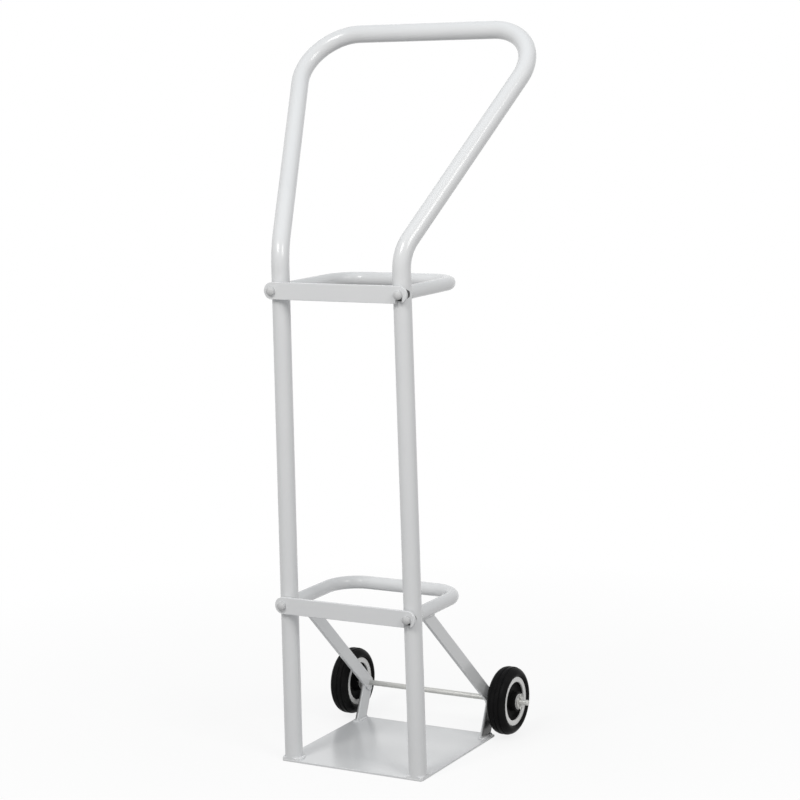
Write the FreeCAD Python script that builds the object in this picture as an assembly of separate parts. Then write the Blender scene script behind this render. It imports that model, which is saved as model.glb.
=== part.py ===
import FreeCAD
import Part
import math
import os

# Gas cylinder trolley, in millimetres.
# The origin is the centre of the base plate's underside, which stands on the floor.
# +X is to the right seen from the front, +Y goes back towards the wheels, +Z is up.

# Base plate
plate_width = 228.6
plate_depth = 228.6
plate_thickness = 3.0
plate_corner_radius = 4.0

# Main tube: two uprights and the handle, bent from one length
tube_diameter = 25.4
tube_wall = 1.6
upright_front_margin = 0.2
upright_side_margin = 0.3
upright_lean = 5.5
handle_bend_height = 733.5
handle_rise = 294.0
handle_set_back = 264.0
handle_flare = 107.7
handle_bend_radius = 60.0
handle_corner_radius = 72.0

# Cylinder rings
ring_tube_diameter = 19.0
ring_tube_wall = 1.5
ring_corner_radius = 44.0
lower_ring_depth = 150.0
upper_ring_depth = 168.0
lower_ring_height = 231.0
upper_ring_drop = 55.5

# Retaining straps
strap_hole_spacing = 201.0
strap_width = 24.0
strap_thickness = 5.0
strap_side_play = 0.15
strap_edge_break = 0.6
pivot_clearance = 0.06
latch_slot_clearance = 0.8

# Strap bolts and the threaded bosses that hold them
boss_diameter = 18.0
boss_stand_off = 1.2
boss_depth = 11.0
boss_fit = 0.05
bolt_shoulder_diameter = 8.0
bolt_thread_diameter = 6.0
bolt_thread_length = 9.0
bolt_head_diameter = 12.5
bolt_head_height = 6.5
bolt_rim_height = 3.8
thread_fit = 0.05

# Rear struts: a sloping brace on each side, and a wider leg from the brace's eye to the plate
brace_width = 20.0
brace_thickness = 5.0
brace_top_set_back = 31.0
brace_inset = 2.0
strut_lead = 1.5
leg_width = 25.0
leg_thickness = 5.0
leg_side_margin = 6.3
leg_back_margin = 4.0

# Axle and what holds the wheels on it
axle_diameter = 8.0
axle_overhang = 8.6
axle_fit = 0.05
axle_end_length = 14.5
axle_end_chamfer = 1.0
spacer_length = 7.75
spacer_wall = 3.0
washer_width = 5.5
washer_thickness = 1.6
washer_fit = 0.3
split_pin_diameter = 2.4
split_pin_tail = 7.0
split_pin_eye_radius = 3.0
split_pin_fit = 0.1

# Wheels
wheel_diameter = 100.0
wheel_floor_gap = 4.5
tyre_width = 29.2
tyre_shoulder_radius = 12.0
tyre_shoulder_angle = 70.0
tyre_side_radius = 5.0
tyre_side_angle = 81.0
tyre_bead_depth = 4.0
tyre_groove_radius = 1.3
tyre_groove_pitch = 7.0
tyre_groove_count = 3
rim_ring_width = 7.7
rim_ring_thickness = 2.2
rim_ring_round = 0.8
rim_ring_recess = 0.2
web_thickness = 11.0
web_corner_round = 2.5
hub_shell_wall = 3.0
hub_bush_diameter = 23.0
hub_overhang = 3.4
hub_end_chamfer = 1.0
hub_running_clearance = 0.06
hub_side_play = 0.25

# Places worked out from the sizes above
upright_foot_x = plate_width / 2 - upright_side_margin - tube_diameter / 2
upright_y = -plate_depth / 2 + upright_front_margin + tube_diameter / 2
boss_x = strap_hole_spacing / 2
boss_face_y = upright_y - tube_diameter / 2 - boss_stand_off
strap_front_y = boss_face_y - strap_side_play - strap_thickness
bolt_seat_y = strap_front_y - strap_side_play
leg_x = plate_width / 2 - leg_side_margin - leg_thickness / 2
brace_foot_x = leg_x - brace_inset
leg_foot_y = plate_depth / 2 - leg_back_margin - leg_width / 2
axle_y = plate_depth / 2 + axle_overhang
axle_height = wheel_floor_gap + wheel_diameter / 2
hub_length = tyre_width + 2 * hub_overhang
hub_inner_x = brace_foot_x + brace_thickness / 2 + spacer_length + hub_side_play
wheel_x = hub_inner_x + hub_length / 2
washer_x = hub_inner_x + hub_length + hub_side_play
split_pin_x = washer_x + washer_thickness + split_pin_fit + split_pin_diameter / 2
axle_half_length = washer_x + axle_end_length
shoulder_turn = math.radians(tyre_shoulder_angle)
lip_turn = shoulder_turn + math.radians(tyre_side_angle)
side_centre_run = tyre_shoulder_radius - tyre_side_radius
side_centre_x = tyre_width / 2 - tyre_side_radius
side_centre_radius = wheel_diameter / 2 - tyre_shoulder_radius + side_centre_run * math.cos(shoulder_turn)
tread_half_width = side_centre_x - side_centre_run * math.sin(shoulder_turn)
tyre_lip_half_width = side_centre_x + tyre_side_radius * math.sin(lip_turn)
rim_ring_outer_radius = side_centre_radius + tyre_side_radius * math.cos(lip_turn)
rim_ring_inner_radius = rim_ring_outer_radius - rim_ring_width
rim_seat_radius = rim_ring_outer_radius - tyre_bead_depth
rim_seat_half_width = tyre_lip_half_width - rim_ring_recess - rim_ring_thickness

x_axis = FreeCAD.Vector(1, 0, 0)
y_axis = FreeCAD.Vector(0, 1, 0)
z_axis = FreeCAD.Vector(0, 0, 1)
tolerance = 1e-6

sides = {"left": -1, "right": 1}
ring_heights = {"lower": lower_ring_height, "upper": handle_bend_height - upper_ring_drop}
ring_depths = {"lower": lower_ring_depth, "upper": upper_ring_depth}


def point(x, y, z):
    return FreeCAD.Vector(x, y, z)


def rod(diameter, start, direction, length):
    return Part.makeCylinder(diameter / 2, length, start, direction)


def upright_point(side, height):
    """Point of an upright's centreline; the uprights come closer together towards the handle."""
    share = (height - plate_thickness) / (handle_bend_height - plate_thickness)
    return point(side * (upright_foot_x - upright_lean * share), upright_y, height)


def above_plate(shape):
    """What stands above the top face of the plate."""
    reach = plate_width + plate_depth
    below = Part.makeBox(2 * reach, 2 * reach, reach, point(-reach, -reach, plate_thickness - reach))
    return shape.cut(below)


def bent_path(corners, radii):
    """Wire of straight runs through the corners, joined by tangent arcs of the given radii."""
    edges = []
    run_start = corners[0]
    for before, corner, after, radius in zip(corners, corners[1:], corners[2:], radii):
        back = (before - corner).normalize()
        ahead = (after - corner).normalize()
        half_angle = back.getAngle(ahead) / 2
        reach = radius / math.tan(half_angle)
        middle_distance = radius / math.sin(half_angle) - radius
        arc_start = corner + back * reach
        arc_middle = corner + (back + ahead).normalize() * middle_distance
        arc_end = corner + ahead * reach
        edges.append(Part.LineSegment(run_start, arc_start).toShape())
        edges.append(Part.Arc(arc_start, arc_middle, arc_end).toShape())
        run_start = arc_end
    edges.append(Part.LineSegment(run_start, corners[-1]).toShape())
    return Part.Wire(edges)


def bent_rod(corners, radii, diameter):
    """Solid round bar along the bent path."""
    path = bent_path(corners, radii)
    section = Part.Wire(Part.makeCircle(diameter / 2, corners[0], corners[1] - corners[0]))
    return path.makePipeShell([section], True, True)


def bent_tube(corners, radii, diameter, wall):
    bore = bent_rod(corners, radii, diameter - 2 * wall)
    return bent_rod(corners, radii, diameter).cut(bore)


def turned(profile, centre):
    """Solid of revolution about the X axis through centre, from (x, radius) corners."""
    corners = [centre + point(x, 0, radius) for x, radius in profile]
    face = Part.Face(Part.makePolygon(corners + corners[:1]))
    return face.revolve(centre, x_axis, 360)


def mirrored_profile(half):
    """Closed (x, radius) profile from the half that lies at negative x."""
    return half + [(-x, radius) for x, radius in half[::-1]]


def circle_edges(shape, radius, *planes):
    """Circular edges of the given radius that lie in one of the planes of constant x."""
    found = []
    for edge in shape.Edges:
        if isinstance(edge.Curve, Part.Circle) and abs(edge.Curve.Radius - radius) < tolerance:
            if any(abs(edge.Curve.Center.x - x) < tolerance for x in planes):
                found.append(edge)
    return found


def make_base_plate():
    corner = point(-plate_width / 2, -plate_depth / 2, 0)
    plate = Part.makeBox(plate_width, plate_depth, plate_thickness, corner)
    upright_edges = [edge for edge in plate.Edges if abs(edge.tangentAt(0).z) > 0.5]
    return plate.makeFillet(plate_corner_radius, upright_edges)


def make_main_tube():
    bend = upright_point(sides["right"], handle_bend_height)
    right_half = [
        upright_point(sides["right"], plate_thickness - tube_diameter),
        bend,
        bend + point(handle_flare, handle_set_back, handle_rise),
    ]
    left_half = [point(-corner.x, corner.y, corner.z) for corner in right_half]
    corners = left_half + right_half[::-1]
    radii = [handle_bend_radius, handle_corner_radius, handle_corner_radius, handle_bend_radius]
    tube = above_plate(bent_tube(corners, radii, tube_diameter, tube_wall))
    for side in sides.values():
        for height in ring_heights.values():
            start = point(side * boss_x, boss_face_y, height)
            tube = tube.cut(rod(boss_diameter + 2 * boss_fit, start, y_axis, boss_depth))
    return tube


def make_ring(level):
    """U of round tube, coped to the backs of the uprights."""
    height = ring_heights[level]
    ends = [upright_point(side, height) for side in sides.values()]
    backs = [end + y_axis * ring_depths[level] for end in ends]
    corners = [ends[0], backs[0], backs[1], ends[1]]
    radii = [ring_corner_radius, ring_corner_radius]
    ring = bent_tube(corners, radii, ring_tube_diameter, ring_tube_wall)
    for side in sides.values():
        low = upright_point(side, height - ring_tube_diameter)
        high = upright_point(side, height + ring_tube_diameter)
        ring = ring.cut(rod(tube_diameter, low, high - low, (high - low).Length))
    return ring


def make_boss(side, height):
    start = point(side * boss_x, boss_face_y, height)
    boss = rod(boss_diameter, start, y_axis, boss_depth)
    return boss.cut(rod(bolt_thread_diameter + 2 * thread_fit, start, y_axis, boss_depth))


def make_strap_bolt(side, height):
    """Shoulder bolt with a plain domed head."""
    seat = point(side * boss_x, bolt_seat_y, height)
    crown = seat - y_axis * bolt_head_height
    dome_height = bolt_head_height - bolt_rim_height
    dome_radius = ((bolt_head_diameter / 2) ** 2 + dome_height ** 2) / (2 * dome_height)
    ball = Part.makeSphere(dome_radius, crown + y_axis * dome_radius)
    dome = ball.common(rod(bolt_head_diameter, crown, y_axis, dome_height))
    rim = rod(bolt_head_diameter, seat, -y_axis, bolt_rim_height)
    shoulder_length = boss_face_y - bolt_seat_y
    shoulder = rod(bolt_shoulder_diameter, seat, y_axis, shoulder_length)
    thread = rod(bolt_thread_diameter, seat, y_axis, shoulder_length + bolt_thread_length)
    return dome.fuse([rim, shoulder, thread]).removeSplitter()


def make_strap(height):
    """Flat bar with round ends, a pivot hole at the left and a slot open downwards at the right."""
    end_radius = strap_width / 2
    pivot = point(-boss_x, strap_front_y, height)
    latch = point(boss_x, strap_front_y, height)
    bar = Part.makeBox(strap_hole_spacing, strap_thickness, strap_width, pivot - z_axis * end_radius)
    ends = [rod(strap_width, end, y_axis, strap_thickness) for end in (pivot, latch)]
    strap = bar.fuse(ends).removeSplitter()
    face_edges = [edge for edge in strap.Edges if edge.BoundBox.YLength < tolerance]
    strap = strap.makeChamfer(strap_edge_break, face_edges)
    pivot_hole = rod(bolt_shoulder_diameter + 2 * pivot_clearance, pivot, y_axis, strap_thickness)
    slot_width = bolt_shoulder_diameter + 2 * latch_slot_clearance
    slot_top = rod(slot_width, latch, y_axis, strap_thickness)
    slot_corner = latch - point(slot_width / 2, 0, end_radius)
    slot = Part.makeBox(slot_width, strap_thickness, end_radius, slot_corner)
    return strap.cut([pivot_hole, slot_top, slot])


def flat_bar(start, end, width, thickness):
    """Flat bar on edge between two points of its centreline, and its sideways direction."""
    along = (end - start).normalize()
    sideways = along.cross(z_axis).normalize()
    half_width = along.cross(sideways) * (width / 2)
    near_face = sideways * (-thickness / 2)
    corners = [start - half_width, end - half_width, end + half_width, start + half_width]
    corners = [near_face + corner for corner in corners]
    bar = Part.Face(Part.makePolygon(corners + corners[:1])).extrude(sideways * thickness)
    return bar, sideways


def axle_point(x):
    return point(x, axle_y, axle_height)


def strut_meeting(x):
    """Point just in front of the axle where a brace's and a leg's centrelines meet."""
    return axle_point(x) - y_axis * strut_lead


def brace_blank(side):
    """Flat bar from the lower ring's centreline to an eye round the axle, and its sideways direction."""
    top = upright_point(side, lower_ring_height) + y_axis * brace_top_set_back
    bottom = strut_meeting(side * brace_foot_x)
    bar, sideways = flat_bar(top, bottom, brace_width, brace_thickness)
    eye = rod(brace_width, bottom - sideways * (brace_thickness / 2), sideways, brace_thickness)
    return bar.fuse(eye).removeSplitter(), sideways


def make_brace(side):
    """Brace splayed out from the ring to the leg, coped to the ring and drilled for the axle."""
    blank, sideways = brace_blank(side)
    hole_start = axle_point(side * brace_foot_x) - x_axis * brace_thickness
    hole = rod(axle_diameter + 2 * axle_fit, hole_start, x_axis, 2 * brace_thickness)
    ring_start = upright_point(side, lower_ring_height)
    ring_side = rod(ring_tube_diameter, ring_start, y_axis, lower_ring_depth - ring_corner_radius)
    return blank.cut([hole, ring_side])


def make_leg(side):
    """Flat bar from the brace's eye down to the plate, where its foot is cut level."""
    top = strut_meeting(side * leg_x)
    foot = point(side * leg_x, leg_foot_y, plate_thickness)
    past_foot = foot + (foot - top).normalize() * leg_width
    bar, leg_sideways = flat_bar(top, past_foot, leg_width, leg_thickness)
    brace, brace_sideways = brace_blank(side)
    eye_reach = brace_inset + leg_thickness
    eye_start = strut_meeting(side * brace_foot_x) - brace_sideways * eye_reach
    eye = rod(brace_width, eye_start, brace_sideways, 2 * eye_reach)
    return above_plate(bar.cut([eye, brace]))


def make_axle():
    axle = rod(axle_diameter, axle_point(-axle_half_length), x_axis, 2 * axle_half_length)
    ends = circle_edges(axle, axle_diameter / 2, -axle_half_length, axle_half_length)
    axle = axle.makeChamfer(axle_end_chamfer, ends)
    for side in sides.values():
        start = axle_point(side * split_pin_x) - z_axis * axle_diameter
        hole = rod(split_pin_diameter + 2 * split_pin_fit, start, z_axis, 2 * axle_diameter)
        axle = axle.cut(hole)
    return axle


def collar(bore, wall, start, direction, length):
    outside = rod(bore + 2 * wall, start, direction, length)
    return outside.cut(rod(bore, start, direction, length))


def make_spacer(side):
    """Collar between the brace's eye and the hub, its inner end cut to the splay of the brace."""
    start = axle_point(side * brace_foot_x)
    length = hub_inner_x - hub_side_play - brace_foot_x
    spacer = collar(axle_diameter + 2 * axle_fit, spacer_wall, start, x_axis * side, length)
    return spacer.cut(make_brace(side))


def make_washer(side):
    start = axle_point(side * washer_x)
    bore = axle_diameter + 2 * washer_fit
    return collar(bore, washer_width, start, x_axis * side, washer_thickness)


def make_split_pin(side):
    """Pin through the axle's end, with its eye resting on top of the axle."""
    foot = axle_point(side * split_pin_x) - z_axis * (axle_diameter / 2 + split_pin_tail)
    shank_length = axle_diameter + split_pin_tail + split_pin_fit + split_pin_diameter / 2
    shank = rod(split_pin_diameter, foot, z_axis, shank_length)
    eye_centre = foot + z_axis * (shank_length + split_pin_eye_radius)
    eye = Part.makeTorus(split_pin_eye_radius, split_pin_diameter / 2, eye_centre, x_axis)
    return shank.fuse(eye).removeSplitter()


def section_arc(centre, radius, start, end):
    """Arc in the plane through the axle, with angles from the upward direction towards +X."""
    def place(turn):
        return centre + point(radius * math.sin(turn), 0, radius * math.cos(turn))

    return Part.Arc(place(start), place((start + end) / 2), place(end)).toShape()


def make_tyre(side):
    """Tyre with a wide shoulder, a tighter side turned in to the rim ring, and grooves in its tread."""
    centre = axle_point(side * wheel_x)
    outer = wheel_diameter / 2
    section = []
    for facing in sides.values():
        shoulder_centre = centre + point(facing * tread_half_width, 0, outer - tyre_shoulder_radius)
        side_centre = centre + point(facing * side_centre_x, 0, side_centre_radius)
        section.append(section_arc(shoulder_centre, tyre_shoulder_radius, 0, facing * shoulder_turn))
        section.append(section_arc(side_centre, tyre_side_radius, facing * shoulder_turn, facing * lip_turn))
        section += Part.makePolygon([
            centre + point(facing * tyre_lip_half_width, 0, rim_ring_outer_radius),
            centre + point(facing * rim_seat_half_width, 0, rim_ring_outer_radius),
            centre + point(facing * rim_seat_half_width, 0, rim_seat_radius),
        ]).Edges
    for half_width, radius in ((tread_half_width, outer), (rim_seat_half_width, rim_seat_radius)):
        middle = centre + z_axis * radius
        section.append(Part.makeLine(middle - x_axis * half_width, middle + x_axis * half_width))
    face = Part.Face(Part.Wire(Part.__sortEdges__(section)))
    tyre = face.revolve(centre, x_axis, 360)
    for step in range(tyre_groove_count):
        offset = (step - (tyre_groove_count - 1) / 2) * tyre_groove_pitch
        past_tread = max(0, abs(offset) - tread_half_width)
        drop = tyre_shoulder_radius - math.sqrt(tyre_shoulder_radius ** 2 - past_tread ** 2)
        groove_centre = centre + x_axis * offset
        tyre = tyre.cut(Part.makeTorus(outer - drop, tyre_groove_radius, groove_centre, x_axis))
    return tyre


def make_wheel_core(side):
    """Moulded wheel centre: the rim that carries the tyre, the web and the hub shell."""
    centre = axle_point(side * wheel_x)
    bush = hub_bush_diameter / 2
    shell = bush + hub_shell_wall
    web_half = web_thickness / 2
    hub_half = hub_length / 2 - hub_end_chamfer
    core = turned(mirrored_profile([
        (-hub_half, bush),
        (-hub_half, shell),
        (-web_half, shell),
        (-web_half, rim_ring_inner_radius),
        (-rim_seat_half_width, rim_ring_inner_radius),
        (-rim_seat_half_width, rim_seat_radius),
    ]), centre)
    web_planes = (centre.x - web_half, centre.x + web_half)
    web_corners = circle_edges(core, shell, *web_planes)
    web_corners += circle_edges(core, rim_ring_inner_radius, *web_planes)
    return core.makeFillet(web_corner_round, web_corners)


def make_rim_ring(side, facing):
    """Rim ring on the face of the wheel that looks along +X (facing 1) or -X (facing -1)."""
    centre = axle_point(side * wheel_x)
    seat = facing * rim_seat_half_width
    front = seat + facing * rim_ring_thickness
    inner = rim_ring_inner_radius
    outer = rim_ring_outer_radius
    ring = turned([(seat, inner), (front, inner), (front, outer), (seat, outer)], centre)
    front_edges = circle_edges(ring, inner, centre.x + front)
    front_edges += circle_edges(ring, outer, centre.x + front)
    return ring.makeFillet(rim_ring_round, front_edges)


def make_hub_bush(side):
    start = axle_point(side * wheel_x) - x_axis * (hub_length / 2)
    bush = rod(hub_bush_diameter, start, x_axis, hub_length)
    ends = circle_edges(bush, hub_bush_diameter / 2, start.x, start.x + hub_length)
    bush = bush.makeChamfer(hub_end_chamfer, ends)
    return bush.cut(rod(axle_diameter + 2 * hub_running_clearance, start, x_axis, hub_length))


def make_nodes():
    nodes = {"base_plate": make_base_plate(), "main_tube": make_main_tube(), "axle": make_axle()}
    for level, height in ring_heights.items():
        nodes[level + "_ring"] = make_ring(level)
        nodes[level + "_strap"] = make_strap(height)
        nodes[level + "_pivot_boss"] = make_boss(sides["left"], height)
        nodes[level + "_latch_boss"] = make_boss(sides["right"], height)
        nodes[level + "_pivot_bolt"] = make_strap_bolt(sides["left"], height)
        nodes[level + "_latch_bolt"] = make_strap_bolt(sides["right"], height)
    for name, side in sides.items():
        nodes[name + "_brace"] = make_brace(side)
        nodes[name + "_leg"] = make_leg(side)
        nodes[name + "_axle_spacer"] = make_spacer(side)
        nodes[name + "_axle_washer"] = make_washer(side)
        nodes[name + "_split_pin"] = make_split_pin(side)
        nodes[name + "_tyre"] = make_tyre(side)
        nodes[name + "_wheel_core"] = make_wheel_core(side)
        nodes[name + "_outer_rim_ring"] = make_rim_ring(side, side)
        nodes[name + "_inner_rim_ring"] = make_rim_ring(side, -side)
        nodes[name + "_hub_bush"] = make_hub_bush(side)
    return nodes


os.makedirs("parts", exist_ok=True)
for node_name, shape in make_nodes().items():
    shape.exportStep("parts/" + node_name + ".step")
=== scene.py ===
import math

import bmesh
import bpy
from mathutils import Matrix, Vector, noise


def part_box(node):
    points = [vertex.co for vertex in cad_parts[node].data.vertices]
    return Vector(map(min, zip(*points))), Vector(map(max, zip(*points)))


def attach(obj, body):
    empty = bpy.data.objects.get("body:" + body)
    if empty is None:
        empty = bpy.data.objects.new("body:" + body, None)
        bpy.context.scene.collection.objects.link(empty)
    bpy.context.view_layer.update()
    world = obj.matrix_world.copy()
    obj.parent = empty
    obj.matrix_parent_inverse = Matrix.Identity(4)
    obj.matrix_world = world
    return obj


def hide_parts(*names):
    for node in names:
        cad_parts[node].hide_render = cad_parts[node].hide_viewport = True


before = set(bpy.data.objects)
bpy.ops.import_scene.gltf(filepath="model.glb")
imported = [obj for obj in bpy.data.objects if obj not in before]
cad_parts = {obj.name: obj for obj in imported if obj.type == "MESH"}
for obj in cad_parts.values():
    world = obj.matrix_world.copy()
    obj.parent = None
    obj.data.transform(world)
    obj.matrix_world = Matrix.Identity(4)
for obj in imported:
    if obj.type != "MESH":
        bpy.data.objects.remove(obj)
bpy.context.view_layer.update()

mm = 0.001
sides = {"left": -1, "right": 1}
levels = ("lower", "upper")


def middleOf(node):  # centre of a CAD node's box
    low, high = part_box(node)
    return (low + high) / 2


def turnedSize(node):  # middle along X, half length and radius of a CAD node that is round about X
    low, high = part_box(node)
    return (low.x + high.x) / 2, (high.x - low.x) / 2, (high.z - low.z) / 2


plateLow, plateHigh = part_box("base_plate")
plateTop = plateHigh.z
axle = middleOf("axle")
ringHeight = {level: middleOf(level + "_ring").z for level in levels}
strapX = middleOf("lower_latch_boss").x  # from the middle plane to a strap bolt


# Shader steps

def spread(tree, value, low, high, toLow=0.0, toHigh=1.0):  # remaps a value and clamps it
    remap = tree.nodes.new("ShaderNodeMapRange")
    for socket, number in zip(("From Min", "From Max", "To Min", "To Max"), (low, high, toLow, toHigh)):
        remap.inputs[socket].default_value = number
    tree.links.new(value, remap.inputs["Value"])
    return remap.outputs["Result"]


def combine(tree, operation, *values):  # maths on one or two values
    maths = tree.nodes.new("ShaderNodeMath")
    maths.operation = operation
    for value, socket in zip(values, maths.inputs):
        tree.links.new(value, socket)
    return maths.outputs["Value"]


def mixColours(tree, mask, under, over):  # under is a colour, or the socket that gives one
    mix = tree.nodes.new("ShaderNodeMix")
    mix.data_type = "RGBA"
    if isinstance(under, tuple):
        mix.inputs["A"].default_value = under
    else:
        tree.links.new(under, mix.inputs["A"])
    mix.inputs["B"].default_value = over
    tree.links.new(mask, mix.inputs["Factor"])
    return mix.outputs["Result"]


def objectNoise(tree, scale, detail, stretch=None):  # noise on Object coordinates, drawn out by stretch
    place = tree.nodes.new("ShaderNodeTexCoord").outputs["Object"]
    if stretch:
        mapping = tree.nodes.new("ShaderNodeMapping")
        mapping.inputs["Scale"].default_value = stretch
        tree.links.new(place, mapping.inputs["Vector"])
        place = mapping.outputs["Vector"]
    speckle = tree.nodes.new("ShaderNodeTexNoise")
    speckle.inputs["Detail"].default_value = detail
    tree.links.new(place, speckle.inputs["Vector"])
    if isinstance(scale, float):
        speckle.inputs["Scale"].default_value = scale
    else:
        tree.links.new(scale, speckle.inputs["Scale"])
    return speckle.outputs["Fac"]


# Shader groups that several finishes share

textures = {
    "sprayedCoat": {  # orange peel of a sprayed and baked coat, with soft clouds in its tone
        "relief": {"detail": 1.5}, "reliefRange": (0.25, 0.75),
        "tone": {"scale": 9.0, "detail": 3.0}, "toneRange": (0.3, 0.7),
    },
    "mouldGrain": {  # matt grain left by a mould
        "relief": {"detail": 4.0}, "reliefRange": (0.3, 0.7),
        "tone": {"scale": 60.0, "detail": 4.0}, "toneRange": (0.3, 0.7),
    },
    "drawnLines": {  # fine lines along X on drawn bar
        "relief": {"detail": 2.0, "stretch": (0.015, 1.0, 1.0)}, "reliefRange": (0.3, 0.7),
        "tone": {"scale": 250.0, "detail": 3.0, "stretch": (0.05, 1.0, 1.0)}, "toneRange": (0.3, 0.7),
    },
}
handling = {"detail": 6.0, "range": (0.48, 0.72)}


def newGroup(name, outputs):  # a group with one Scale input, that socket, and the sockets to fill
    group = bpy.data.node_groups.new(name, "ShaderNodeTree")
    group.interface.new_socket("Scale", in_out="INPUT", socket_type="NodeSocketFloat")
    for label in outputs:
        group.interface.new_socket(label, in_out="OUTPUT", socket_type="NodeSocketFloat")
    scale = group.nodes.new("NodeGroupInput").outputs["Scale"]
    return group, scale, group.nodes.new("NodeGroupOutput").inputs


def textureGroup(name, look):
    group, scale, results = newGroup(name, ("Height", "Tone"))
    relief = objectNoise(group, scale, **look["relief"])
    tone = objectNoise(group, **look["tone"])
    group.links.new(spread(group, relief, *look["reliefRange"]), results["Height"])
    group.links.new(spread(group, tone, *look["toneRange"]), results["Tone"])
    return group


def filmGroup():  # faint patches where hands and dust have dulled the gloss
    group, scale, results = newGroup("handlingFilm", ("Mask",))
    patch = objectNoise(group, scale, handling["detail"])
    group.links.new(spread(group, patch, *handling["range"]), results["Mask"])
    return group


groups = {name: textureGroup(name, look) for name, look in textures.items()}
groups["handlingFilm"] = filmGroup()


# Finishes

def addGroup(tree, name, scale):
    node = tree.nodes.new("ShaderNodeGroup")
    node.node_tree = groups[name]
    node.inputs["Scale"].default_value = scale
    return node.outputs


def paintGapShade(tree, colour, paintedGapShade):  # painted shade: near-black darkening on the struts, where the tyres run close past them and shadow falls in the gap
    place = tree.nodes.new("ShaderNodeSeparateXYZ")
    tree.links.new(tree.nodes.new("ShaderNodeTexCoord").outputs["Object"], place.inputs["Vector"])
    across = combine(tree, "ABSOLUTE", place.outputs["X"])
    mask = spread(tree, across, *paintedGapShade["across"], 0.0, paintedGapShade["strength"])
    mask = combine(tree, "MULTIPLY", mask, spread(tree, place.outputs["Y"], *paintedGapShade["back"]))
    mask = combine(tree, "MULTIPLY", mask, spread(tree, place.outputs["Z"], *paintedGapShade["foot"]))
    mask = combine(tree, "MULTIPLY", mask, spread(tree, place.outputs["Z"], *paintedGapShade["fade"], 1.0, 0.0))
    return mixColours(tree, mask, colour, paintedGapShade["colour"])


def makeFinish(name, look):
    material = bpy.data.materials.new(name)
    material.use_nodes = True
    tree = material.node_tree
    shader = tree.nodes["Principled BSDF"]
    for socket, number in look["shader"].items():
        shader.inputs[socket].default_value = number
    texture = addGroup(tree, look["texture"], look["textureScale"])
    film = addGroup(tree, "handlingFilm", look["filmScale"])
    colour = mixColours(tree, texture["Tone"], look["colour"], look["shade"])
    # painted shade in the gap between the struts and the tyres, for a finish that carries it
    if "paintedGapShade" in look:
        colour = paintGapShade(tree, colour, look["paintedGapShade"])
    tree.links.new(colour, shader.inputs["Base Color"])
    tree.links.new(spread(tree, film["Mask"], 0.0, 1.0, *look["roughness"]), shader.inputs["Roughness"])
    bump = tree.nodes.new("ShaderNodeBump")
    bump.inputs["Strength"].default_value = look["bump"]
    bump.inputs["Distance"].default_value = look["bumpDepth"]
    tree.links.new(texture["Height"], bump.inputs["Height"])
    tree.links.new(bump.outputs["Normal"], shader.inputs["Normal"])
    return material


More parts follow.
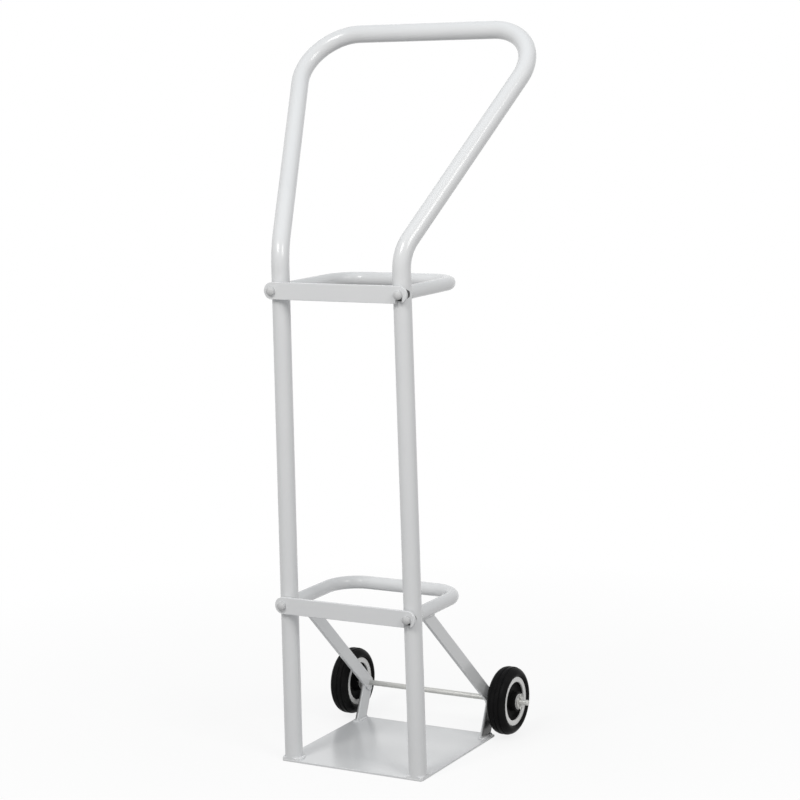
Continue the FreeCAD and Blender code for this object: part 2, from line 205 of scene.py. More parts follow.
finishLooks = {
    "frame_paint": {
        "colour": (0.79, 0.80, 0.81, 1), "shade": (0.77, 0.78, 0.793, 1), "roughness": (0.19, 0.24),
        "texture": "sprayedCoat", "textureScale": 420.0, "filmScale": 12.0,
        "bump": 0.1, "bumpDepth": 0.06 * mm, "shader": {"IOR": 1.5},
        # painted shade: near-black in the shadowed gap between the struts and the tyres
        "paintedGapShade": {"colour": (0.02, 0.02, 0.02, 1), "strength": 0.9,
                  "across": (104.0 * mm, 106.5 * mm), "back": (60.0 * mm, 85.0 * mm),
                  "foot": (4.5 * mm, 8.0 * mm), "fade": (45.0 * mm, 70.0 * mm)},
    },
    # the bosses are real parts; their near-black colour is painted shade, so the latch slot in front of them
    # reads as a shadowed hollow
    "boss_black": {
        "colour": (0.035, 0.035, 0.037, 1), "shade": (0.05, 0.05, 0.05, 1), "roughness": (0.45, 0.60),
        "texture": "mouldGrain", "textureScale": 1200.0, "filmScale": 90.0,
        "bump": 0.15, "bumpDepth": 0.02 * mm, "shader": {"IOR": 1.5, "Specular IOR Level": 0.3},
    },
    "bolt_steel": {
        "colour": (0.66, 0.665, 0.67, 1), "shade": (0.60, 0.605, 0.61, 1), "roughness": (0.52, 0.64),
        "texture": "mouldGrain", "textureScale": 1200.0, "filmScale": 90.0,
        "bump": 0.15, "bumpDepth": 0.02 * mm, "shader": {"IOR": 1.5, "Specular IOR Level": 0.3},
    },
    "axle_steel": {
        "colour": (0.64, 0.64, 0.62, 1), "shade": (0.56, 0.56, 0.54, 1), "roughness": (0.40, 0.52),
        "texture": "drawnLines", "textureScale": 1500.0, "filmScale": 60.0,
        "bump": 0.2, "bumpDepth": 0.02 * mm, "shader": {"Metallic": 0.5},
    },
    "tyre_rubber": {
        "colour": (0.010, 0.010, 0.0104, 1), "shade": (0.015, 0.015, 0.015, 1), "roughness": (0.28, 0.42),
        "texture": "mouldGrain", "textureScale": 1400.0, "filmScale": 45.0,
        "bump": 0.3, "bumpDepth": 0.05 * mm, "shader": {"IOR": 1.5, "Specular IOR Level": 0.02},
    },
    "wheel_black": {
        "colour": (0.009, 0.009, 0.009, 1), "shade": (0.013, 0.013, 0.013, 1), "roughness": (0.40, 0.55),
        "texture": "mouldGrain", "textureScale": 1000.0, "filmScale": 70.0,
        "bump": 0.3, "bumpDepth": 0.05 * mm, "shader": {"IOR": 1.46, "Specular IOR Level": 0.025},
    },
    "rim_white": {
        "colour": (0.93, 0.93, 0.92, 1), "shade": (0.90, 0.90, 0.89, 1), "roughness": (0.28, 0.40),
        "texture": "mouldGrain", "textureScale": 700.0, "filmScale": 60.0,
        "bump": 0.12, "bumpDepth": 0.03 * mm, "shader": {"IOR": 1.48},
    },
    "hub_grey": {
        "colour": (0.56, 0.56, 0.55, 1), "shade": (0.50, 0.50, 0.49, 1), "roughness": (0.36, 0.50),
        "texture": "mouldGrain", "textureScale": 900.0, "filmScale": 80.0,
        "bump": 0.2, "bumpDepth": 0.04 * mm, "shader": {"IOR": 1.46},
    },
}
finishes = {name: makeFinish(name, look) for name, look in finishLooks.items()}
print("finishes ready:", len(finishes))

# Shared modelling steps

shop = {"bendStep": 3.0, "leastSteps": 4, "mostly": 0.5, "rimAngle": 60, "rimSegments": 3,
        "cornerSegments": 4, "mergeDistance": 0.0005 * mm, "crease": 35}


def ofKind(geom, kind):
    return [item for item in geom if isinstance(item, kind)]


def pushRing(bm, edges, step):  # extrudes a loop of edges by a step and returns the new loop
    grown = bmesh.ops.extrude_edge_only(bm, edges=edges)["geom"]
    bmesh.ops.translate(bm, vec=step, verts=ofKind(grown, bmesh.types.BMVert))
    return [edge for edge in ofKind(grown, bmesh.types.BMEdge) if edge.is_boundary]


def bentBar(corners, radii, diameter, facets, bendStep=shop["bendStep"]):  # round bar, bent at its corners
    bm = bmesh.new()
    aim = (corners[1] - corners[0]).to_track_quat("Z", "X").to_matrix().to_4x4()
    start = Matrix.Translation(corners[0]) @ aim
    bmesh.ops.create_circle(bm, cap_ends=True, radius=diameter / 2, segments=facets, matrix=start)
    loop = bm.edges[:]
    here = corners[0]
    for before, corner, after, radius in zip(corners, corners[1:], corners[2:], radii):
        back = (before - corner).normalized()
        ahead = (after - corner).normalized()
        halfAngle = back.angle(ahead) / 2
        reach = radius / math.tan(halfAngle)
        centre = corner + (back + ahead).normalized() * (radius / math.sin(halfAngle))
        turn = math.pi - 2 * halfAngle
        loop = pushRing(bm, loop, corner + back * reach - here)
        spun = bmesh.ops.spin(bm, geom=loop, cent=centre, axis=ahead.cross(back).normalized(), angle=turn,
                              steps=max(shop["leastSteps"], round(math.degrees(turn) / bendStep)))
        loop = ofKind(spun["geom_last"], bmesh.types.BMEdge)
        here = corner + ahead * reach
    loop = pushRing(bm, loop, corners[-1] - here)
    bmesh.ops.contextual_create(bm, geom=loop)
    return bm


def arcPoints(centre, radius, start, end, steps):  # (a, b) points round a centre, angles in degrees
    angles = [math.radians(start + (end - start) * step / steps) for step in range(steps + 1)]
    return [(centre[0] + radius * math.cos(angle), centre[1] + radius * math.sin(angle)) for angle in angles]


def wireLoop(bm, places):  # closed chain of edges through the places
    verts = [bm.verts.new(place) for place in places]
    for pair in zip(verts, verts[1:] + verts[:1]):
        bm.edges.new(pair)


def runsAlong(edge, axis):  # whether an edge runs mostly along x, y or z
    run = (edge.verts[1].co - edge.verts[0].co).normalized()
    return abs(run["xyz".index(axis)]) > shop["mostly"]


def roundEdges(bm, edges, size, segments, clamp=False):
    bmesh.ops.bevel(bm, geom=edges, offset=size, offset_type="OFFSET", affect="EDGES", segments=segments,
                    profile=0.5, material=-1, clamp_overlap=clamp)


def flatPiece(outline, holes, thickness, edgeRound):  # outline in XZ, thickened along +Y, with rounded rims
    bm = bmesh.new()
    for chain in [outline] + holes:
        wireLoop(bm, [Vector((x, 0, z)) for x, z in chain])
    filled = bmesh.ops.triangle_fill(bm, use_beauty=True, use_dissolve=True, edges=bm.edges[:])["geom"]
    faces = ofKind(filled, bmesh.types.BMFace)
    grown = bmesh.ops.extrude_face_region(bm, geom=faces, use_keep_orig=True)["geom"]
    bmesh.ops.translate(bm, vec=(0, thickness, 0), verts=ofKind(grown, bmesh.types.BMVert))
    bmesh.ops.recalc_face_normals(bm, faces=bm.faces)
    sharp = math.radians(shop["rimAngle"])
    rims = [edge for edge in bm.edges if edge.calc_face_angle(0) > sharp and not runsAlong(edge, "y")]
    roundEdges(bm, rims, edgeRound, shop["rimSegments"], clamp=True)
    return bm


def turnedPiece(outline, rounds, facets):  # (x, radius) outline turned about X, its corners rounded in order
    bm = bmesh.new()
    wireLoop(bm, [Vector((x, 0, radius)) for x, radius in outline])
    onAxis = [edge for edge in bm.edges if not any(vert.co.z for vert in edge.verts)]
    bmesh.ops.delete(bm, geom=onAxis, context="EDGES")
    for corner, size in zip(bm.verts[:], rounds):
        if size:
            bmesh.ops.bevel(bm, geom=[corner], offset=size, offset_type="OFFSET", affect="VERTICES",
                            segments=shop["cornerSegments"], profile=0.5, material=-1)
    bmesh.ops.spin(bm, geom=bm.verts[:] + bm.edges[:], cent=(0, 0, 0), axis=(1, 0, 0),
                   angle=2 * math.pi, steps=facets, use_merge=True)
    return bm


def finishPiece(bm, name, body, slot, nodes=(), crease=shop["crease"], even=False):
    bmesh.ops.remove_doubles(bm, verts=bm.verts[:], dist=shop["mergeDistance"])
    bmesh.ops.recalc_face_normals(bm, faces=bm.faces[:])
    mesh = bpy.data.meshes.new(name)
    bm.to_mesh(mesh)
    bm.free()
    mesh.shade_smooth()
    mesh.set_sharp_from_angle(angle=math.radians(crease))
    mesh.materials.append(finishes[slot])
    piece = bpy.data.objects.new(name, mesh)
    bpy.context.scene.collection.objects.link(piece)
    if even:
        piece.modifiers.new("evenShade", "WEIGHTED_NORMAL").keep_sharp = True
    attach(piece, body)
    if nodes:
        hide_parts(*nodes)


def dressNode(node, slot):  # better finish on a CAD node that keeps its mesh
    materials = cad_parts[node].data.materials
    materials.clear()
    materials.append(finishes[slot])


# Base plate

plate = {"cornerRadius": 4.0 * mm, "cornerSegments": 10, "edgeRound": 0.8 * mm, "edgeSegments": 4}


def makePlate():
    bm = bmesh.new()
    bmesh.ops.create_cube(bm, size=1.0)
    bmesh.ops.scale(bm, vec=plateHigh - plateLow, verts=bm.verts[:])
    bmesh.ops.translate(bm, vec=(plateLow + plateHigh) / 2, verts=bm.verts[:])
    corners = [edge for edge in bm.edges if runsAlong(edge, "z")]
    roundEdges(bm, corners, plate["cornerRadius"], plate["cornerSegments"])
    rims = [edge for edge in bm.edges if not runsAlong(edge, "z")]
    roundEdges(bm, rims, plate["edgeRound"], plate["edgeSegments"])
    finishPiece(bm, "basePlate", "frame", "frame_paint", ["base_plate"], even=True)


makePlate()
print("plate cut")

# Main tube, bent from one length, and the two cylinder rings

tube = {"diameter": 25.4 * mm, "bendHeight": 733.5 * mm, "rise": 294.0 * mm, "setBack": 264.0 * mm,
        "flare": 107.7 * mm, "bendRadius": 60.0 * mm, "cornerRadius": 72.0 * mm, "facets": 64,
        "sunkFoot": 1.0 * mm}
ring = {"diameter": 19.0 * mm, "cornerRadius": 44.0 * mm, "facets": 48, "sunkStart": 5.0 * mm}
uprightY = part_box("main_tube")[0].y + tube["diameter"] / 2
ringX = {level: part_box(level + "_ring")[1].x - ring["diameter"] / 2 for level in levels}
ringBackY = {level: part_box(level + "_ring")[1].y - ring["diameter"] / 2 for level in levels}
lean = (ringX["lower"] - ringX["upper"]) / (ringHeight["upper"] - ringHeight["lower"])


def uprightAt(side, z):  # the uprights come closer together towards the handle
    return Vector((side * (ringX["lower"] - lean * (z - ringHeight["lower"])), uprightY, z))


def makeMainTube():
    bend = uprightAt(1, tube["bendHeight"])
    top = bend + Vector((tube["flare"], tube["setBack"], tube["rise"]))
    rightHalf = [uprightAt(1, plateTop - tube["sunkFoot"]), bend, top]
    leftHalf = [Vector((-corner.x, corner.y, corner.z)) for corner in rightHalf]
    radii = [tube["bendRadius"], tube["cornerRadius"], tube["cornerRadius"], tube["bendRadius"]]
    bm = bentBar(leftHalf + rightHalf[::-1], radii, tube["diameter"], tube["facets"])
    finishPiece(bm, "mainTube", "frame", "frame_paint", ["main_tube"])


def makeRing(level):
    z = ringHeight[level]
    startY = uprightY + ring["sunkStart"]  # inside the upright
    x = ringX[level]
    backY = ringBackY[level]
    corners = [Vector(place) for place in ((-x, startY, z), (-x, backY, z), (x, backY, z), (x, startY, z))]
    bm = bentBar(corners, [ring["cornerRadius"]] * 2, ring["diameter"], ring["facets"])
    finishPiece(bm, level + "Ring", "frame", "frame_paint", [level + "_ring"])


makeMainTube()
for level in levels:
    makeRing(level)
print("tubes bent")

# Rear struts

strut = {"braceWidth": 20.0 * mm, "braceThickness": 5.0 * mm, "braceSetBack": 31.0 * mm,
         "braceInset": 2.0 * mm, "legWidth": 25.0 * mm, "legBackMargin": 4.0 * mm, "legGap": 0.2 * mm,
         "lead": 1.5 * mm, "edgeRound": 0.9 * mm, "eyeSteps": 24, "hornAngle": 62, "hornSteps": 20,
         "footSink": 0.4 * mm}
legX = middleOf("right_leg").x
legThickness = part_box("right_leg")[1].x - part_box("right_leg")[0].x
braceFootX = legX - strut["braceInset"]
meeting = Vector((0, axle.y - strut["lead"], axle.z))
legFoot = Vector((0, plateHigh.y - strut["legBackMargin"] - strut["legWidth"] / 2, plateTop))


def atSide(place, x):
    return Vector((x, place.y, place.z))


def placeFlat(bm, start, along, thickness):  # local X along the bar, local Y across its thickness
    sideways = along.cross(Vector((0, 0, 1))).normalized()
    across = along.cross(sideways)
    turn = Matrix((along, sideways, across)).transposed().to_4x4()
    bmesh.ops.translate(bm, vec=(0, -thickness / 2, 0), verts=bm.verts[:])
    bmesh.ops.transform(bm, matrix=Matrix.Translation(start) @ turn, verts=bm.verts[:])


def braceEnds(side):
    top = uprightAt(side, ringHeight["lower"]) + Vector((0, strut["braceSetBack"], 0))
    return top, atSide(meeting, side * braceFootX)


def makeBrace(name, side):
    top, bottom = braceEnds(side)
    length = (bottom - top).length
    half = strut["braceWidth"] / 2
    outline = [(0, half), (0, -half)] + arcPoints((length, 0), half, -90, 90, strut["eyeSteps"])
    bm = flatPiece(outline, [], strut["braceThickness"], strut["edgeRound"])
    placeFlat(bm, top, (bottom - top).normalized(), strut["braceThickness"])
    finishPiece(bm, name + "Brace", "frame", "frame_paint", [name + "_brace"], even=True)


def makeLeg(name, side):
    hub = atSide(meeting, side * legX)
    foot = atSide(legFoot, side * legX)
    along = (foot - hub).normalized()
    across = along.cross(along.cross(Vector((0, 0, 1))).normalized())
    half = strut["legWidth"] / 2
    eye = strut["braceWidth"] / 2 + strut["legGap"]
    floorLevel = plateTop - strut["footSink"]
    footRun = [(floorLevel - hub.z - across.z * w) / along.z for w in (half, -half)]
    hornAngle = strut["hornAngle"]
    horn = eye * math.cos(math.radians(hornAngle))
    outline = [(footRun[0], half), (footRun[1], -half), (horn, -half)]
    outline += arcPoints((0, 0), eye, -hornAngle, hornAngle, strut["hornSteps"]) + [(horn, half)]
    bm = flatPiece(outline, [], legThickness, strut["edgeRound"])
    placeFlat(bm, hub, along, legThickness)
    finishPiece(bm, name + "Leg", "frame", "frame_paint", [name + "_leg"], even=True)


for name, side in sides.items():
    makeBrace(name, side)
    makeLeg(name, side)
print("struts cut")

# Weld beads under the paint, with outsets and lift as shares of a bead's radius

weld = {"footRadius": 2.6 * mm, "ringRadius": 2.1 * mm, "strutRadius": 1.7 * mm, "legRadius": 2.3 * mm,
        "outset": 0.4, "ringOutset": 0.3, "legEndOutset": 0.1, "braceEndOutset": 0.3, "lift": 0.2,
        "eyeShare": 0.8, "pitch": 2.3 * mm, "ripple": 0.10, "wander": 0.16, "wanderScale": 220,
        "endTaper": 10, "endShare": 0.25, "cornerPower": 0.4, "facets": 14, "stepsPerRipple": 6,
        "leastRipples": 3, "probe": 0.002, "crease": 60}


def weldBead(path, length, radius, up, closed=True):  # rippled round bead along path(t), t from 0 to 1
    bm = bmesh.new()
    ripples = max(weld["leastRipples"], round(length / weld["pitch"]))
    steps = ripples * weld["stepsPerRipple"]
    probe = weld["probe"]
    taper = weld["endTaper"]
    places = []
    for step in range(steps if closed else steps + 1):
        t = step / steps
        here = path(t)
        tangent = (path(t + probe) - path(t - probe)).normalized()
        acrossPath = up(t).cross(tangent).normalized()
        turn = Matrix((acrossPath, tangent.cross(acrossPath), tangent)).transposed().to_4x4()
        swell = 1 + weld["ripple"] * math.sin(2 * math.pi * ripples * t)
        swell += weld["wander"] * noise.noise(here * weld["wanderScale"])
        if not closed:
            swell *= max(weld["endShare"], min(1.0, taper * t, taper * (1 - t)))
        places.append(Matrix.Translation(here) @ turn @ Matrix.Scale(swell * radius, 4))
    bmesh.ops.create_circle(bm, cap_ends=not closed, radius=1.0, segments=weld["facets"], matrix=places[0])
    first = loop = bm.edges[:]
    for before, after in zip(places, places[1:]):
        grown = bmesh.ops.extrude_edge_only(bm, edges=loop)["geom"]
        bmesh.ops.transform(bm, matrix=after @ before.inverted(), verts=ofKind(grown, bmesh.types.BMVert))
        loop = [edge for edge in ofKind(grown, bmesh.types.BMEdge) if edge.is_boundary and edge not in first]
    if closed:
        bmesh.ops.bridge_loops(bm, edges=first + loop)
    else:
        bmesh.ops.contextual_create(bm, geom=loop)
    return bm


def finishBead(bm, name):
    finishPiece(bm, name, "frame", "frame_paint", crease=weld["crease"])


def circleOf(t):
    return math.cos(2 * math.pi * t), math.sin(2 * math.pi * t)


def squarish(t, halfX, halfY):  # rounded rectangle
    a, b = circleOf(t)
    power = weld["cornerPower"]
    return halfX * math.copysign(abs(a) ** power, a), halfY * math.copysign(abs(b) ** power, b)


def upward(t):
    return Vector((0, 0, 1))


def makeFootBead(name, side):
    radius = weld["footRadius"]
    reach = tube["diameter"] / 2 + weld["outset"] * radius

    def path(t):
        a, b = circleOf(t)
        return uprightAt(side, plateTop) + Vector((reach * a, reach * b, weld["lift"] * radius))
    bm = weldBead(path, 2 * math.pi * reach, radius, upward)
    edgeLine = plate["edgeRound"] / 2
    for vert in bm.verts:  # dressed flush where the tube stands at the plate's edge
        vert.co.x = max(plateLow.x + edgeLine, min(vert.co.x, plateHigh.x - edgeLine))
        vert.co.y = max(vert.co.y, plateLow.y + edgeLine)
        vert.co.z = max(vert.co.z, plateTop - plate["edgeRound"])
    finishBead(bm, name + "FootBead")


def makeRingBead(level, name, side):
    radius = weld["ringRadius"]
    reach = ring["diameter"] / 2 + weld["ringOutset"] * radius

    def path(t):
        a, b = circleOf(t)
        bulge = math.sqrt((tube["diameter"] / 2) ** 2 - (reach * a) ** 2)
        offset = Vector((reach * a, bulge + weld["lift"] * radius, reach * b))
        return uprightAt(side, ringHeight[level]) + offset

    def outward(t):
        a, b = circleOf(t)
        return Vector((a, 0, b))
    bm = weldBead(path, 2 * math.pi * reach, radius, outward)
    finishBead(bm, level + name.capitalize() + "RingBead")


def makeLegBead(name, side):
    radius = weld["legRadius"]
    hub = atSide(meeting, side * legX)
    foot = atSide(legFoot, side * legX)
    slope = abs((foot - hub).normalized().z)
    halfX = legThickness / 2 + weld["outset"] * radius
    halfY = strut["legWidth"] / 2 / slope + weld["legEndOutset"] * radius

    def path(t):
        x, y = squarish(t, halfX, halfY)
        return foot + Vector((x, y, weld["lift"] * radius))
    bm = weldBead(path, 4 * (halfX + halfY), radius, upward)
    for vert in bm.verts:  # dressed flush at the plate's back edge
        vert.co.y = min(vert.co.y, plateHigh.y - plate["edgeRound"] / 2)
        vert.co.z = max(vert.co.z, plateTop - plate["edgeRound"])
    finishBead(bm, name + "LegBead")


def makeBraceBead(name, side):
    radius = weld["strutRadius"]
    top, bottom = braceEnds(side)
    along = (bottom - top).normalized()
    ringRadius = ring["diameter"] / 2
    entry = top + along * (ringRadius / -along.z)
    halfX = strut["braceThickness"] / 2 + weld["outset"] * radius
    halfY = strut["braceWidth"] / 2 / -along.z + weld["braceEndOutset"] * radius

    def path(t):
        x, y = squarish(t, halfX, halfY)
        drop = math.sqrt(ringRadius ** 2 - (entry.x + x - top.x) ** 2)
        return Vector((entry.x + x, entry.y + y, top.z - drop))
    bm = weldBead(path, 4 * (halfX + halfY), radius, upward)
    finishBead(bm, name + "BraceBead")


def makeEyeBead(name, side, face):
    hub = atSide(meeting, side * braceFootX)
    along = (atSide(legFoot, side * braceFootX) - hub).normalized()
    across = along.cross(Vector((1, 0, 0)))
    reach = strut["braceWidth"] / 2
    spanAngle = math.radians(2 * strut["hornAngle"])

    def path(t):
        angle = spanAngle * (t - 0.5)
        offset = along * math.cos(angle) + across * math.sin(angle)
        return hub + offset * reach + Vector((face * strut["braceThickness"] / 2, 0, 0))

    def outward(t):
        return Vector((face, 0, 0))
    bm = weldBead(path, spanAngle * reach, weld["strutRadius"] * weld["eyeShare"], outward, closed=False)
    finishBead(bm, name + ("Inner" if face == -side else "Outer") + "EyeBead")


for name, side in sides.items():
    makeFootBead(name, side)
    makeLegBead(name, side)
    makeBraceBead(name, side)
    for level in levels:
        makeRingBead(level, name, side)
    for face in (-1, 1):
        makeEyeBead(name, side, face)
print("joints welded")

# Retaining straps and their bolts

strap = {"edgeRound": 0.9 * mm, "pivotHole": 8.12 * mm, "slotWidth": 9.6 * mm,
         "endSteps": 28, "slotSteps": 20, "holePoints": 36}


def makeStrap(level):
    low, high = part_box(level + "_strap")
    half = (high.z - low.z) / 2
    z = (low.z + high.z) / 2
    slotHalf = strap["slotWidth"] / 2
    lip = math.degrees(math.asin(slotHalf / half))
    outline = arcPoints((-strapX, z), half, 90, 270, strap["endSteps"])
    outline += [(strapX - slotHalf, low.z)]
    outline += arcPoints((strapX, z), slotHalf, 180, 0, strap["slotSteps"])
    outline += arcPoints((strapX, z), half, lip - 90, 90, strap["endSteps"])
    holeSteps = strap["holePoints"] - 1
    lastAngle = 360 * holeSteps / strap["holePoints"]
    hole = arcPoints((-strapX, z), strap["pivotHole"] / 2, 0, lastAngle, holeSteps)
    bm = flatPiece(outline, [hole], high.y - low.y, strap["edgeRound"])
    bmesh.ops.translate(bm, vec=(0, low.y, 0), verts=bm.verts[:])
    finishPiece(bm, level + "Strap", level + "_gate", "frame_paint", [level + "_strap"], even=True)


bolt = {"headDiameter": 12.5 * mm, "rimHeight": 3.8 * mm, "rimRound": 0.35 * mm, "crownRound": 1.2 * mm,
        "shoulderDiameter": 8.0 * mm, "sidePlay": 0.15 * mm, "sunkEnd": 2.0 * mm,
        "domeSteps": 12, "facets": 64}


def makeBolt(level, place):
    node = level + "_" + place + "_bolt"
    centre = middleOf(node)
    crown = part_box(node)[0].y
    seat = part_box(level + "_strap")[0].y - bolt["sidePlay"]
    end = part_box(level + "_" + place + "_boss")[0].y + bolt["sunkEnd"]
    headRadius = bolt["headDiameter"] / 2
    shoulder = bolt["shoulderDiameter"] / 2
    rise = seat - bolt["rimHeight"] - crown
    domeRadius = (headRadius ** 2 + rise ** 2) / (2 * rise)
    steepest = math.degrees(math.asin(min(1, headRadius / domeRadius)))
    outline = [(end, 0), (end, shoulder), (seat, shoulder), (seat, headRadius)]
    outline += arcPoints((crown + domeRadius, 0), domeRadius, 180 - steepest, 180, bolt["domeSteps"])
    bm = turnedPiece(outline, [0, 0, 0, bolt["rimRound"], bolt["crownRound"]], bolt["facets"])
    facing = Matrix.Translation((centre.x, 0, centre.z)) @ Matrix.Rotation(math.radians(90), 4, "Z")
    bmesh.ops.transform(bm, matrix=facing, verts=bm.verts[:])
    finishPiece(bm, level + place.capitalize() + "Bolt", "frame", "bolt_steel", [node])


for level in levels:
    makeStrap(level)
    for place in ("pivot", "latch"):
        makeBolt(level, place)
        # the near-black boss finish is painted shade for the slot in front of each boss
        dressNode(level + "_" + place + "_boss", "boss_black")
print("straps hung")

# Axle, washers and split pins

axleRod = {"endChamfer": 1.0 * mm, "chamferSegments": 3, "facets": 40}
washer = {"bore": 8.6 * mm, "edgeRound": 0.35 * mm, "facets": 64}
pin = {"wire": 1.15 * mm, "legGap": 0.62 * mm, "tailSpread": 3.0 * mm, "tailRise": 4.2 * mm,
       "throatLift": 5.0 * mm, "neckRise": 2.6 * mm, "eyeHalf": 3.3 * mm, "tailRadius": 2.0 * mm,
       "throatRadius": 1.2 * mm, "neckRadius": 1.6 * mm, "eyeRadius": 2.6 * mm, "bendStep": 9.0,
       "facets": 12}


def makeAxle():
    half, radius = turnedSize("axle")[1:]
    bm = bmesh.new()
    aim = Matrix.Translation(axle) @ Matrix.Rotation(math.radians(90), 4, "Y")
    bmesh.ops.create_cone(bm, cap_ends=True, segments=axleRod["facets"], radius1=radius, radius2=radius,
                          depth=2 * half, matrix=aim)
    ends = [edge for edge in bm.edges if not runsAlong(edge, "x")]
    roundEdges(bm, ends, axleRod["endChamfer"], axleRod["chamferSegments"])
    finishPiece(bm, "axleRod", "frame", "axle_steel", ["axle"])


def atAxle(bm, x):
    bmesh.ops.translate(bm, vec=(x, axle.y, axle.z), verts=bm.verts[:])
    return bm


def makeWasher(name):
    node = name + "_axle_washer"
    x, half, outer = turnedSize(node)
    bore = washer["bore"] / 2
    outline = [(-half, bore), (-half, outer), (half, outer), (half, bore)]
    bm = turnedPiece(outline, [washer["edgeRound"]] * len(outline), washer["facets"])
    finishPiece(atAxle(bm, x), name + "Washer", "frame", "axle_steel", [node])


def makePin(name):  # one wire, from the tail of one leg round the eye to the tail of the other
    node = name + "_split_pin"
    low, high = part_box(node)
    x = (low.x + high.x) / 2
    half = pin["wire"] / 2
    gap = pin["legGap"]
    throat = axle.z + pin["throatLift"]
    tail = low.z + half
    leg = [(gap + pin["tailSpread"], tail), (gap, tail + pin["tailRise"]), (gap, throat),
           (pin["eyeHalf"], throat + pin["neckRise"]), (pin["eyeHalf"], high.z - half)]
    path = [Vector((x, axle.y - y, z)) for y, z in leg]
    path += [Vector((x, axle.y + y, z)) for y, z in leg[::-1]]
    radii = [pin["tailRadius"], pin["throatRadius"], pin["neckRadius"], pin["eyeRadius"]]
    bm = bentBar(path, radii + radii[::-1], pin["wire"], pin["facets"], pin["bendStep"])
    finishPiece(bm, name + "SplitPin", "frame", "axle_steel", [node])


makeAxle()
for name in sides:
    makeWasher(name)
    makePin(name)
    dressNode(name + "_axle_spacer", "axle_steel")
print("axle dressed")

# Wheels

tyre = {"shoulder": 12.0 * mm, "shoulderAngle": math.radians(70), "side": 5.0 * mm,
        "sideAngle": math.radians(81), "grooves": (-1, 0, 1), "groovePitch": 7.0 * mm,
        "grooveDepth": 1.5 * mm, "grooveHalf": 1.5 * mm, "grooveShape": 0.7, "steps": 120, "facets": 144}
rim = {"width": 7.7 * mm, "round": 0.8 * mm, "facets": 128}
core = {"shellWall": 3.0 * mm, "webHalf": 5.5 * mm, "webRound": 2.5 * mm, "lipRound": 0.6 * mm,
        "facets": 128}
bush = {"bore": 8.12 * mm, "boreRound": 0.3 * mm, "chamfer": 1.0 * mm, "facets": 96}


def seatHalf(name):  # from the middle of a wheel to the back of its rim rings
    low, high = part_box(name + "_outer_rim_ring")
    middle = middleOf(name + "_tyre").x
    return min(abs(low.x - middle), abs(high.x - middle))


def crownHalf(half):  # half the width of a tyre's flat crown
    return half - tyre["side"] - (tyre["shoulder"] - tyre["side"]) * math.sin(tyre["shoulderAngle"])


def sectionPoint(distance, half, outer):  # a tyre's skin and the way out of it, by distance along it
    side = math.copysign(1, distance)
    crown = crownHalf(half)
    past = abs(distance) - crown
    if past <= 0:
        return Vector((distance, outer)), Vector((0, 1))
    centre = Vector((side * crown, outer - tyre["shoulder"]))
    radius = tyre["shoulder"]
    angle = past / radius
    if angle > tyre["shoulderAngle"]:
        edge = tyre["shoulderAngle"]
        centre += Vector((side * math.sin(edge), math.cos(edge))) * (tyre["shoulder"] - tyre["side"])
        radius = tyre["side"]
        angle = edge + (past - tyre["shoulder"] * edge) / radius
    out = Vector((side * math.sin(angle), math.cos(angle)))
    return centre + out * radius, out


def grooveSink(distance):  # how deep the tread is cut, by distance along the skin
    for groove in tyre["grooves"]:
        away = abs(distance - groove * tyre["groovePitch"]) / tyre["grooveHalf"]
        if away < 1:
            return tyre["grooveDepth"] * (0.5 + 0.5 * math.cos(math.pi * away)) ** tyre["grooveShape"]
    return 0


def makeTyre(name):
    node = name + "_tyre"
    x, half, outer = turnedSize(node)
    seatRadius = turnedSize(name + "_wheel_core")[2]
    seat = seatHalf(name)
    reach = crownHalf(half) + tyre["shoulder"] * tyre["shoulderAngle"] + tyre["side"] * tyre["sideAngle"]
    skin = []
    for step in range(tyre["steps"] + 1):
        distance = reach * (2 * step / tyre["steps"] - 1)
        place, out = sectionPoint(distance, half, outer)
        skin.append(tuple(place - out * grooveSink(distance)))
    lip = skin[-1][1]
    outline = [(-seat, seatRadius), (-seat, lip)] + skin + [(seat, lip), (seat, seatRadius)]
    bm = turnedPiece(outline, [], tyre["facets"])
    finishPiece(atAxle(bm, x), name + "Tyre", name + "_wheel", "tyre_rubber", [node])


def makeRimRing(name, facing):
    node = name + "_" + facing + "_rim_ring"
    x, half, outer = turnedSize(node)
    inner = outer - rim["width"]
    front = half if x > middleOf(name + "_tyre").x else -half
    outline = [(-front, inner), (front, inner), (front, outer), (-front, outer)]
    bm = turnedPiece(outline, [0, rim["round"], rim["round"]], rim["facets"])
    finishPiece(atAxle(bm, x), name + facing.capitalize() + "RimRing", name + "_wheel", "rim_white", [node])


def makeCore(name):
    node = name + "_wheel_core"
    x, half, seatRadius = turnedSize(node)
    inner = turnedSize(name + "_outer_rim_ring")[2] - rim["width"]
    bore = turnedSize(name + "_hub_bush")[2]
    shell = bore + core["shellWall"]
    seat = seatHalf(name)
    web = core["webHalf"]
    leftSide = [(-half, bore), (-half, shell), (-web, shell), (-web, inner), (-seat, inner),
                (-seat, seatRadius)]
    rounds = [0, core["lipRound"], core["webRound"], core["webRound"], 0, 0]
    outline = leftSide + [(-place, radius) for place, radius in leftSide[::-1]]
    bm = turnedPiece(outline, rounds + rounds[::-1], core["facets"])
    finishPiece(atAxle(bm, x), name + "WheelCore", name + "_wheel", "wheel_black", [node])


def makeBush(name):
    node = name + "_hub_bush"
    x, half, outer = turnedSize(node)
    bore = bush["bore"] / 2
    outline = [(-half, bore), (-half, outer), (half, outer), (half, bore)]
    rounds = [bush["boreRound"], bush["chamfer"], bush["chamfer"], bush["boreRound"]]
    bm = turnedPiece(outline, rounds, bush["facets"])
    finishPiece(atAxle(bm, x), name + "HubBush", name + "_wheel", "hub_grey", [node])


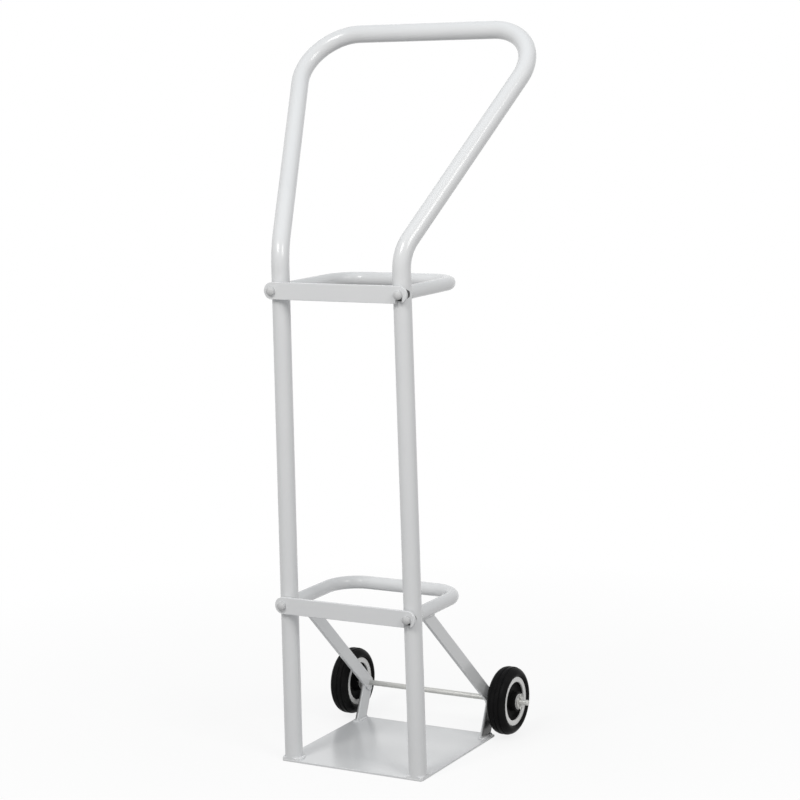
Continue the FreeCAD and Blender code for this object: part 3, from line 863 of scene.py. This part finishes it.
for name in sides:
    makeTyre(name)
    makeCore(name)
    makeBush(name)
    for facing in ("outer", "inner"):
        makeRimRing(name, facing)
print("wheels turned")

# Floor, light and camera

white = (1, 1, 1, 1)
studio = {"floorSize": 14.0, "floorDrop": 0.4 * mm, "floorFacets": 96, "floorTone": 0.4,
          "floorRoughness": 0.9, "floorShade": 0.16, "shadeStart": 0.3, "shadeReach": 1.2,
          "worldLevel": 0.46}


def cameraRayMask(tree):  # 1 where a camera, glossy or transmitted ray sees the backdrop
    rays = tree.nodes.new("ShaderNodeLightPath").outputs
    either = combine(tree, "MAXIMUM", rays["Is Camera Ray"], rays["Is Glossy Ray"])
    return combine(tree, "MAXIMUM", either, rays["Is Transmission Ray"])


def mixShaders(tree, mask, first, second):
    mix = tree.nodes.new("ShaderNodeMixShader")
    for source, socket in zip((mask, first.outputs[0], second.outputs[0]), mix.inputs):
        tree.links.new(source, socket)
    return mix


def makeFloor():
    bm = bmesh.new()
    below = Matrix.Translation((0, 0, -studio["floorDrop"]))
    bmesh.ops.create_circle(bm, cap_ends=True, radius=studio["floorSize"] / 2,
                            segments=studio["floorFacets"], matrix=below)
    mesh = bpy.data.meshes.new("studioFloor")
    bm.to_mesh(mesh)
    bm.free()
    floor = bpy.data.objects.new("studioFloor", mesh)
    bpy.context.scene.collection.objects.link(floor)
    material = bpy.data.materials.new("paleFloor")
    material.use_nodes = True
    tree = material.node_tree
    lit = tree.nodes["Principled BSDF"]
    lit.inputs["Base Color"].default_value = (*[studio["floorTone"]] * 3, 1)
    lit.inputs["Roughness"].default_value = studio["floorRoughness"]
    lit.inputs["Specular IOR Level"].default_value = 0.0
    glow = tree.nodes.new("ShaderNodeEmission")
    shadowed = tree.nodes.new("ShaderNodeBsdfDiffuse")
    shadowed.inputs["Color"].default_value = white
    away = tree.nodes.new("ShaderNodeVectorMath")
    away.operation = "LENGTH"
    tree.links.new(tree.nodes.new("ShaderNodeTexCoord").outputs["Object"], away.inputs[0])
    fade = spread(tree, away.outputs["Value"], studio["shadeStart"], studio["shadeReach"],
                  studio["floorShade"], 0.0)
    pale = mixShaders(tree, fade, glow, shadowed)  # shows the object's shadow near it and fades to white
    seen = mixShaders(tree, cameraRayMask(tree), lit, pale)
    tree.links.new(seen.outputs[0], tree.nodes["Material Output"].inputs["Surface"])
    mesh.materials.append(material)


def makeWorld():
    world = bpy.data.worlds.new("softStudio")
    world.use_nodes = True
    bpy.context.scene.world = world
    tree = world.node_tree
    ambient = tree.nodes["Background"]
    ambient.inputs["Color"].default_value = white
    ambient.inputs["Strength"].default_value = studio["worldLevel"]
    backdrop = tree.nodes.new("ShaderNodeBackground")
    backdrop.inputs["Color"].default_value = white
    seen = mixShaders(tree, cameraRayMask(tree), ambient, backdrop)
    tree.links.new(seen.outputs[0], tree.nodes["World Output"].inputs["Surface"])


view = {"azimuth": 29.133, "elevation": 8.820, "roll": -1.507, "distance": 3.1085, "lens": 99.09,
        "sensor": 36.0, "target": Vector((0.032006, -0.0004, 0.514491))}
warm = (1, 0.985, 0.965)
cool = (0.4, 0.75, 1)
lamps = {
    "key": {"azimuth": -8, "elevation": 40, "reach": 2.8, "size": 0.8, "watts": 26.0, "colour": warm},
    "fill": {"azimuth": 62, "elevation": 34, "reach": 2.8, "size": 1.0, "watts": 21.0, "colour": warm},
    "overhead": {"azimuth": 0, "elevation": 88, "reach": 2.6, "size": 2.2, "watts": 3.0, "colour": cool},
}


def directionOf(azimuth, elevation):  # unit vector towards a place round the object, 0 azimuth in front
    turn = math.radians(azimuth)
    tilt = math.radians(elevation)
    return Vector((math.sin(turn) * math.cos(tilt), -math.cos(turn) * math.cos(tilt), math.sin(tilt)))


def makeLamp(name, look):
    data = bpy.data.lights.new(name, "AREA")
    data.shape = "SQUARE"
    data.size = look["size"]
    data.energy = look["watts"]
    data.color = look["colour"]
    lamp = bpy.data.objects.new(name, data)
    outward = directionOf(look["azimuth"], look["elevation"])
    lamp.location = view["target"] + outward * look["reach"]
    lamp.rotation_euler = outward.to_track_quat("Z", "Y").to_euler()
    lamp.visible_camera = False
    bpy.context.scene.collection.objects.link(lamp)


def makeCamera():
    turn = math.radians(view["azimuth"])
    roll = math.radians(view["roll"])
    back = directionOf(view["azimuth"], view["elevation"])
    right = Vector((math.cos(turn), math.sin(turn), 0))
    up = back.cross(right)
    rolledRight = right * math.cos(roll) + up * math.sin(roll)
    rolledUp = up * math.cos(roll) - right * math.sin(roll)
    data = bpy.data.cameras.new("photoCamera")
    data.lens = view["lens"]
    data.sensor_width = view["sensor"]
    camera = bpy.data.objects.new("photoCamera", data)
    bpy.context.scene.collection.objects.link(camera)
    aim = Matrix((rolledRight, rolledUp, back)).transposed().to_4x4()
    camera.matrix_world = Matrix.Translation(view["target"] + back * view["distance"]) @ aim
    bpy.context.scene.camera = camera


makeFloor()
makeWorld()
for name, look in lamps.items():
    makeLamp(name, look)
makeCamera()
bpy.context.scene.view_settings.view_transform = "Standard"
print("studio lit")
